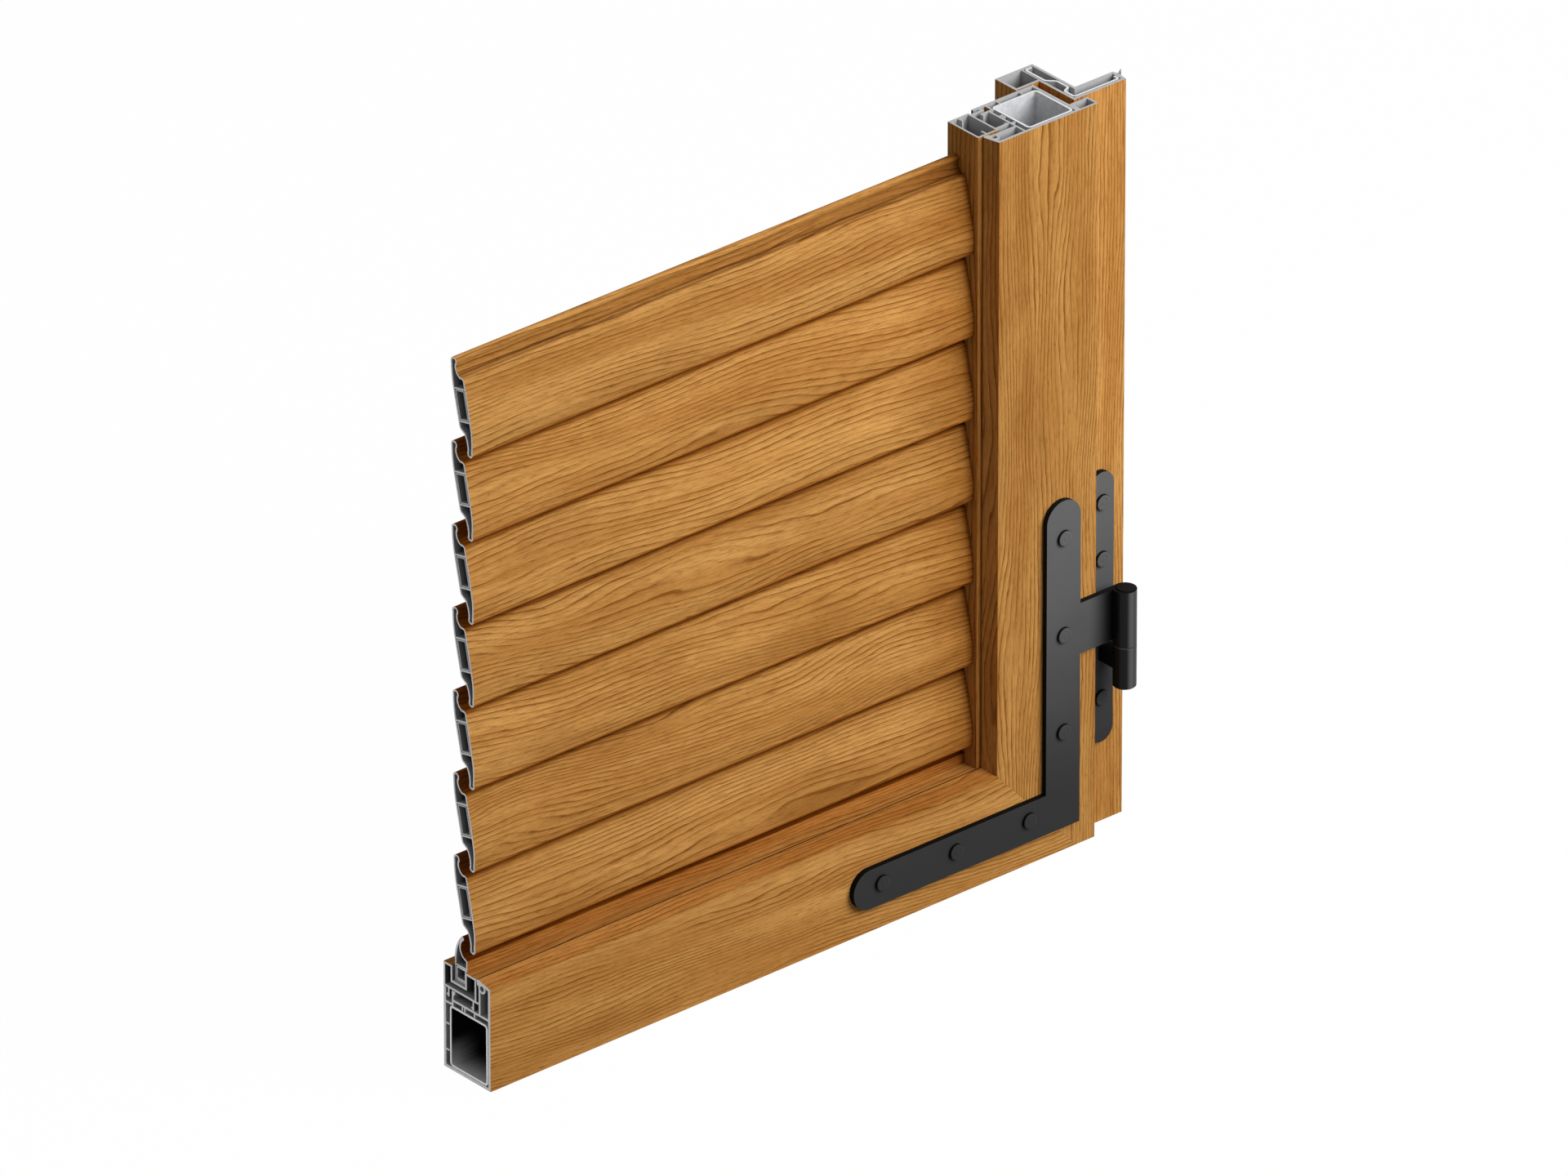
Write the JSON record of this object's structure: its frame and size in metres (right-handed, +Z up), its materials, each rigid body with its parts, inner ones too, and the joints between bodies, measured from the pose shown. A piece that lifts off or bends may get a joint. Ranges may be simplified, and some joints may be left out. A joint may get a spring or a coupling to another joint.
{
  "type": "louvred shutter corner sample",
  "caption": "Cut-away lower corner of a foiled PVC louvred shutter leaf, hung by a black corner strap hinge on its fixed frame jamb.",
  "frame": {"origin": "at the middle of the sample's footprint, on the level of its bottom cut", "axes": "+X along the closed leaf towards the jamb, +Y to the rear (towards the building), +Z up"},
  "size_m": [0.5188, 0.078, 0.503],
  "materials": {
    "foiled_pvc": "golden oak wood-grain foil on grey PVC",
    "galvanised_steel": "bright galvanised sheet",
    "black_coated_steel": "fine matt black powder coat",
    "hinge_pin_steel": "drawn steel",
    "washer_plastic": "black",
    "gasket_rubber": "matt"
  },
  "bodies": {
    "frame": {"frame_jamb": "foiled_pvc", "frame_reinforcement": "galvanised_steel", "frame_gasket": "gasket_rubber", "jamb_hinge_plate": "black_coated_steel", "hinge_pin": "hinge_pin_steel", "hinge_washer": "washer_plastic", "jamb_screw_1": "black_coated_steel", "jamb_screw_2": "black_coated_steel", "jamb_screw_3": "black_coated_steel"},
    "leaf": {"leaf_stile": "foiled_pvc", "leaf_bottom_rail": "foiled_pvc", "stile_steel_tube": "galvanised_steel", "rail_steel_tube": "galvanised_steel", "stile_slat_carrier": "foiled_pvc", "rail_slat_carrier": "foiled_pvc", "starter_slat": "foiled_pvc", "starter_slat_tube": "galvanised_steel", "slat_1": "foiled_pvc", "slat_2": "foiled_pvc", "slat_3": "foiled_pvc", "slat_4": "foiled_pvc", "slat_5": "foiled_pvc", "slat_6": "foiled_pvc", "slat_7": "foiled_pvc", "slat_insert_1": "galvanised_steel", "slat_insert_2": "galvanised_steel", "slat_insert_3": "galvanised_steel", "slat_insert_4": "galvanised_steel", "slat_insert_5": "galvanised_steel", "slat_insert_6": "galvanised_steel", "slat_insert_7": "galvanised_steel", "corner_strap_hinge": "black_coated_steel", "knuckle_cap": "black_coated_steel", "strap_screw_1": "black_coated_steel", "strap_screw_2": "black_coated_steel", "strap_screw_3": "black_coated_steel", "strap_screw_4": "black_coated_steel", "strap_screw_5": "black_coated_steel", "strap_screw_6": "black_coated_steel"}
  },
  "joints": [
    {"name": "leaf_swing", "type": "hinge", "parent": "frame", "child": "leaf", "pos_m": [0.23735, -0.03165, 0.13], "axis": [0, 0, 1], "range_deg": [0, 180]}
  ]
}
